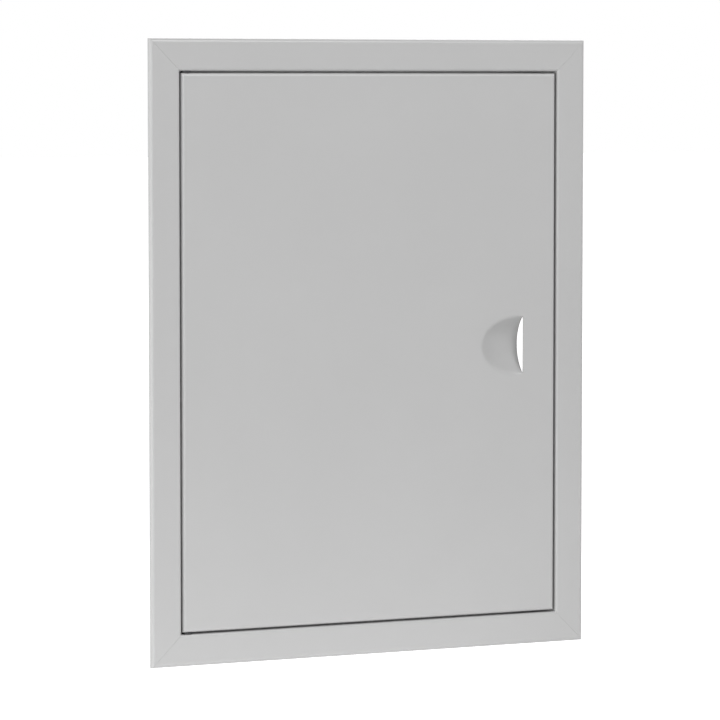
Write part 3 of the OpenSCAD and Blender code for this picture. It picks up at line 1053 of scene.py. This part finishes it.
def powder_coat(name):
    """Satin light grey powder coat with a fine orange peel."""
    paint = bpy.context.scene.panel_paint
    return rippled_finish(
        name, light=[min(1.0, part * 1.01) for part in paint.colour],
        dark=[part * 0.985 for part in paint.colour], drift=9.0,
        smooth=paint.roughness - 0.03, rough=paint.roughness + 0.04,
        ripple=1 / paint.peel_size, grain=0.12, bump=paint.peel,
    )


def galvanised_steel(name):
    """Galvanised sheet with its crystals."""
    material = rippled_finish(
        name, light=(0.5, 0.51, 0.52), dark=(0.41, 0.42, 0.43), drift=60.0, smooth=0.34,
        rough=0.5, ripple=900.0, grain=0.4, bump=0.004 * MM, metallic=1.0,
    )
    tree = material.node_tree
    shader = tree.nodes["Principled BSDF"]
    tone = shader.inputs["Base Color"].links[0].from_socket
    crystals = add_node(tree, "ShaderNodeTexVoronoi", {
        "Vector": tree.nodes["Texture Coordinate"].outputs["Object"], "Scale": 380.0,
    })
    shade = add_node(tree, "ShaderNodeSeparateColor", {"Color": crystals.outputs["Color"]})
    shine = add_node(tree, "ShaderNodeMapRange", {
        "Value": shade.outputs["Red"], "To Min": 0.28, "To Max": 0.56,
    })
    bright = add_node(tree, "ShaderNodeMapRange", {
        "Value": shade.outputs["Green"], "To Min": 0.86, "To Max": 1.04,
    })
    scaled = add_node(tree, "ShaderNodeVectorMath", {
        0: tone, "Scale": bright.outputs["Result"],
    }, operation="SCALE")
    fill(tree, shader, {
        "Base Color": scaled.outputs["Vector"], "Roughness": shine.outputs["Result"],
    })
    return material


def bright_zinc(name):
    """Bright zinc plating on small turned and stamped parts."""
    return rippled_finish(
        name, light=(0.66, 0.67, 0.69), dark=(0.57, 0.585, 0.61), drift=240.0, smooth=0.2,
        rough=0.34, ripple=2600.0, grain=0.5, bump=0.002 * MM, metallic=1.0,
    )


def rivet_aluminium(name):
    """Plain aluminium of the rivets."""
    return rippled_finish(
        name, light=(0.72, 0.72, 0.73), dark=(0.6, 0.6, 0.615), drift=300.0, smooth=0.3,
        rough=0.44, ripple=2200.0, grain=0.5, bump=0.003 * MM, metallic=1.0,
    )


def black_nylon(name):
    """Moulded black nylon with a fine matt grain."""
    return rippled_finish(
        name, light=(0.034, 0.034, 0.037), dark=(0.025, 0.025, 0.027), drift=110.0,
        smooth=0.42, rough=0.55, ripple=1500.0, grain=0.8, bump=0.02 * MM,
    )


def sintered_ferrite(name):
    """Dark grey sintered ferrite with a dry grain."""
    return rippled_finish(
        name, light=(0.075, 0.075, 0.08), dark=(0.045, 0.045, 0.05), drift=420.0,
        smooth=0.6, rough=0.75, ripple=2400.0, grain=1.0, bump=0.03 * MM,
    )


FINISHES = {
    "paint": powder_coat, "zinc": galvanised_steel, "bright_zinc": bright_zinc,
    "rivet_steel": rivet_aluminium, "nylon": black_nylon, "ferrite": sintered_ferrite,
}


def finish_of(slot):
    """The finish that all pieces of the slot share."""
    return once(bpy.data.materials, FINISHES[slot])


# Studio

def seen_directly(tree):
    """One for camera, glossy and transmission rays, and nothing for the rest."""
    path = add_node(tree, "ShaderNodeLightPath")
    both = add_node(tree, "ShaderNodeMath", {
        0: path.outputs["Is Camera Ray"], 1: path.outputs["Is Glossy Ray"],
    }, operation="MAXIMUM")
    return add_node(tree, "ShaderNodeMath", {
        0: both.outputs[0], 1: path.outputs["Is Transmission Ray"],
    }, operation="MAXIMUM").outputs[0]


def studio_floor_finish():
    """White floor that keeps a soft shadow near the panel and turns pure white further off."""
    material = bpy.data.materials.new("studio_floor")
    material.use_nodes = True
    tree = material.node_tree
    shader = tree.nodes["Principled BSDF"]
    fill(tree, shader, {
        "Base Color": (0.88, 0.88, 0.88, 1), "Roughness": 0.9, "Specular IOR Level": 0.0,
    })
    where = add_node(tree, "ShaderNodeTexCoord")
    away = add_node(tree, "ShaderNodeVectorMath", {0: where.outputs["Object"]},
                    operation="LENGTH")
    lift = add_node(tree, "ShaderNodeMapRange", {
        "Value": away.outputs["Value"], "From Min": 0.6, "From Max": 2.0, "To Min": 0.3,
        "To Max": 1.0,
    })
    strength = add_node(tree, "ShaderNodeMath", {
        0: lift.outputs["Result"], 1: seen_directly(tree),
    }, operation="MULTIPLY")
    glow = add_node(tree, "ShaderNodeEmission", {"Strength": strength.outputs[0]})
    both = add_node(tree, "ShaderNodeAddShader", {0: shader.outputs[0], 1: glow.outputs[0]})
    clear = add_node(tree, "ShaderNodeBsdfTransparent")
    side = add_node(tree, "ShaderNodeNewGeometry")
    sided = add_node(tree, "ShaderNodeMixShader", {
        0: side.outputs["Backfacing"], 1: both.outputs[0], 2: clear.outputs[0],
    })
    fill(tree, tree.nodes["Material Output"], {"Surface": sided.outputs[0]})
    return material


def lamp(name, power, width, height, place, aim=(0, 0, 0)):
    """A flat lamp that shines from its place at the aim."""
    way = Vector(aim) - Vector(place)
    bpy.ops.object.light_add(
        type="AREA", location=place, rotation=way.to_track_quat("-Z", "Y").to_euler()
    )
    light = bpy.context.object
    light.name = name
    light.data.shape = "RECTANGLE"
    light.data.size = width
    light.data.size_y = height
    light.data.energy = power
    light.visible_camera = False


class PANEL_OT_studio(bpy.types.Operator):
    """Set up the white floor, the lamps, the world and the camera"""

    bl_idname = "access_panel.studio"
    bl_label = "Studio"

    def execute(self, context):
        floor_size, film_w, far_limit = 60, 36, 100
        studio = context.scene.panel_studio
        context.scene.view_settings.view_transform = "Standard"
        bpy.ops.mesh.primitive_plane_add(
            size=floor_size, location=(0, 0, -HALF_H - studio.floor_drop)
        )
        floor = context.object
        floor.name = "studio_floor"
        floor.data.materials.append(studio_floor_finish())
        lamp("left_lamp", studio.key, 1.6, 1.6, (-2.38, 0.3, 0.0))
        lamp("top_lamp", studio.top, 0.8, 0.8, (0.5, -1.35, 1.85))
        lamp("front_lamp", studio.front, 0.9, 1.4, (-2.0, -1.3, 0.0))
        lamp("low_lamp", studio.low, 0.6, 0.2, (-0.1, -0.2, -0.4), (-0.1, 0, -0.1))
        lamp("back_lamp", studio.back, 1.6, 1.6, (0.8, 2.2, 0.8))
        world = bpy.data.worlds.new("studio_world")
        context.scene.world = world
        world.use_nodes = True
        tree = world.node_tree
        even = tree.nodes["Background"]
        fill(tree, even, {"Color": (1, 1, 1, 1), "Strength": studio.ambient})
        white = add_node(tree, "ShaderNodeBackground", {"Color": (1, 1, 1, 1), "Strength": 1.0})
        mixed = add_node(tree, "ShaderNodeMixShader", {
            0: seen_directly(tree), 1: even.outputs[0], 2: white.outputs[0],
        })
        fill(tree, tree.nodes["World Output"], {"Surface": mixed.outputs[0]})
        bpy.ops.object.camera_add(
            location=studio.eye, rotation=(math.pi / 2 - studio.tilt, 0, -studio.turn)
        )
        camera = context.object
        camera.data.lens = studio.lens
        camera.data.sensor_width = film_w
        camera.data.clip_end = far_limit
        context.scene.camera = camera
        return {"FINISHED"}


class PANEL_PT_sidebar(bpy.types.Panel):
    """Sizes, finishes and building steps of the access panel"""

    bl_idname = "PANEL_PT_access_panel"
    bl_label = "Access Panel"
    bl_space_type = "VIEW_3D"
    bl_region_type = "UI"
    bl_category = "Access Panel"

    def draw(self, context):
        for name, group in GROUPS.items():
            box = self.layout.box()
            box.label(text=group.__doc__)
            settings = getattr(context.scene, name)
            for key in group.__annotations__:
                box.prop(settings, key)
        for operator in OPERATORS:
            self.layout.operator(operator.bl_idname)


GROUPS = {
    "panel_frame": FrameSizes, "panel_door": DoorSizes, "panel_pull": PullSizes,
    "panel_fittings": FittingSizes, "panel_paint": PaintFinish, "panel_studio": StudioSettings,
}
OPERATORS = (
    PANEL_OT_frame_members, PANEL_OT_door, PANEL_OT_corner_plates, PANEL_OT_rivets,
    PANEL_OT_hinge, PANEL_OT_catches, PANEL_OT_catch_screws, PANEL_OT_studio,
)


def register():
    for name, group in GROUPS.items():
        bpy.utils.register_class(group)
        setattr(bpy.types.Scene, name, PointerProperty(type=group))
    for operator in OPERATORS:
        bpy.utils.register_class(operator)
    bpy.utils.register_class(PANEL_PT_sidebar)


def unregister():
    bpy.utils.unregister_class(PANEL_PT_sidebar)
    for operator in reversed(OPERATORS):
        bpy.utils.unregister_class(operator)
    for name, group in reversed(GROUPS.items()):
        delattr(bpy.types.Scene, name)
        bpy.utils.unregister_class(group)


def main():
    """Register the add-on and run its steps in order."""
    register()
    for operator in OPERATORS:
        step = operator.bl_idname.split(".")[1]
        getattr(bpy.ops.access_panel, step)()


if __name__ == "__main__":
    main()
